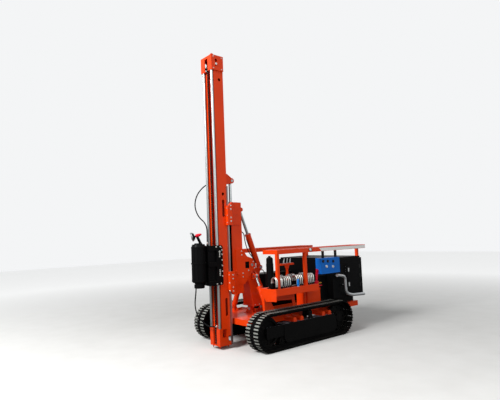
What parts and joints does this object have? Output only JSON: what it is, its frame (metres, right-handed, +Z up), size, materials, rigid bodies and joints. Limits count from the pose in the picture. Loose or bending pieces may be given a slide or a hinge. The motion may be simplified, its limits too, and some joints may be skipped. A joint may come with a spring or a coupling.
{
  "type": "crawler pile driver rig",
  "caption": "Crawler pile driver rig: tall mast with sliding drive head on a leaning column, folding backwards over a tracked steel chassis with valve table and engine housing.",
  "frame": {"origin": "on the ground below the middle of the whole machine's box", "axes": "+Z up, -Y towards the mast at the front, +X towards the valve table side"},
  "size_m": [1.765, 3.4379, 4.9799],
  "materials": {
    "track_steel": "worn bare steel on the shoe faces",
    "black_paint": "satin",
    "red_paint": "gloss",
    "pin_steel": "machined",
    "chrome_rod": "polished",
    "chain_steel": "oiled",
    "blue_paint": "gloss",
    "cast_engine": "painted casting",
    "pipe_steel": "satin",
    "rubber_hose": "moulded rubber",
    "crimson_paint": "gloss",
    "gauge_case": "bright bezels",
    "lamp_glass": "clear lens"
  },
  "bodies": {
    "chassis": {"left_track": "track_steel", "right_track": "track_steel", "track_frames": "black_paint", "idlers": "black_paint", "sprockets": "black_paint", "track_rollers": "black_paint", "deck": "red_paint", "column_brackets": "red_paint", "foot_pins": "pin_steel", "valve_table": "red_paint", "valve_banks": "black_paint", "valve_levers": "chrome_rod", "lever_stand": "red_paint", "filter_canister": "black_paint", "hand_valve": "crimson_paint", "gauges": "gauge_case", "frame_lamp": "lamp_glass", "tool_box": "red_paint", "control_box": "blue_paint", "upper_frame": "red_paint", "engine_housing": "black_paint", "engine": "cast_engine", "oil_tank": "black_paint", "exhaust_pipe": "pipe_steel"},
    "column": {"column": "red_paint", "column_hose": "rubber_hose", "tilt_pin": "pin_steel"},
    "left_barrel": {"left_lean_barrel": "red_paint"},
    "left_rod": {"left_lean_rod": "chrome_rod"},
    "right_barrel": {"right_lean_barrel": "red_paint"},
    "right_rod": {"right_lean_rod": "chrome_rod"},
    "carriage": {"carriage": "red_paint", "boom_covers": "black_paint", "mast_clamps": "red_paint", "slide_barrel": "black_paint"},
    "tilt_barrel": {"tilt_barrel": "red_paint", "tilt_hose": "rubber_hose"},
    "tilt_rod": {"tilt_rod": "chrome_rod"},
    "mast": {"mast": "red_paint", "guide_tubes": "chrome_rod", "mast_rails": "pin_steel", "mast_cap": "red_paint", "mast_foot": "red_paint", "mast_chain": "chain_steel", "rod_bracket": "red_paint", "slide_rod": "chrome_rod"},
    "head": {"head_carriage": "black_paint", "drive_drum": "black_paint", "head_lamp": "black_paint", "head_hose": "rubber_hose", "foot_hose": "rubber_hose"},
    "spindle": {"drive_spindle": "black_paint"}
  },
  "joints": [
    {"name": "column_lean", "type": "hinge", "parent": "chassis", "child": "column", "pos_m": [0, -0.411, 0.56], "axis": [0, 1, 0], "range_deg": [-10, 10]},
    {"name": "left_barrel_swing", "type": "hinge", "parent": "chassis", "child": "left_barrel", "pos_m": [0.47, -0.561, 0.545], "axis": [0, 1, 0], "range_deg": [-10, 10]},
    {"name": "left_rod_slide", "type": "slide", "parent": "left_barrel", "child": "left_rod", "axis": [-0.4441, 0, 0.896], "range_m": [-0.075, 0.075]},
    {"name": "right_barrel_swing", "type": "hinge", "parent": "chassis", "child": "right_barrel", "pos_m": [-0.47, -0.561, 0.545], "axis": [0, 1, 0], "range_deg": [-10, 10]},
    {"name": "right_rod_slide", "type": "slide", "parent": "right_barrel", "child": "right_rod", "axis": [0.4441, 0, 0.896], "range_m": [-0.075, 0.075]},
    {"name": "mast_tilt", "type": "hinge", "parent": "column", "child": "carriage", "pos_m": [0, -0.616, 1.32], "axis": [-1, 0, 0], "range_deg": [0, 90]},
    {"name": "tilt_barrel_swing", "type": "hinge", "parent": "column", "child": "tilt_barrel", "pos_m": [0, -0.331, 1.255], "axis": [-1, 0, 0], "range_deg": [0, 100]},
    {"name": "tilt_rod_slide", "type": "slide", "parent": "tilt_barrel", "child": "tilt_rod", "axis": [0, -0.3592, 0.9333], "range_m": [-0.41, 0]},
    {"name": "mast_slide", "type": "slide", "parent": "carriage", "child": "mast", "axis": [0, 0, 1], "range_m": [0, 0.9]},
    {"name": "head_slide", "type": "slide", "parent": "mast", "child": "head", "axis": [0, 0, 1], "range_m": [-0.6, 2.8]},
    {"name": "spindle_turn", "type": "hinge", "parent": "head", "child": "spindle", "pos_m": [0, -1.593, 1.05], "axis": [0, 0, 1], "continuous": true}
  ],
  "couplings": [
    {"joint": "left_barrel_swing", "follows": "column_lean", "ratio": 0.65616},
    {"joint": "left_rod_slide", "follows": "column_lean", "m_per_rad": -0.41377},
    {"joint": "right_barrel_swing", "follows": "column_lean", "ratio": 0.65616},
    {"joint": "right_rod_slide", "follows": "column_lean", "m_per_rad": 0.41377},
    {"joint": "tilt_barrel_swing", "follows": "mast_tilt", "ratio": 1.0733},
    {"joint": "tilt_rod_slide", "follows": "mast_tilt", "m_per_rad": -0.25534}
  ]
}
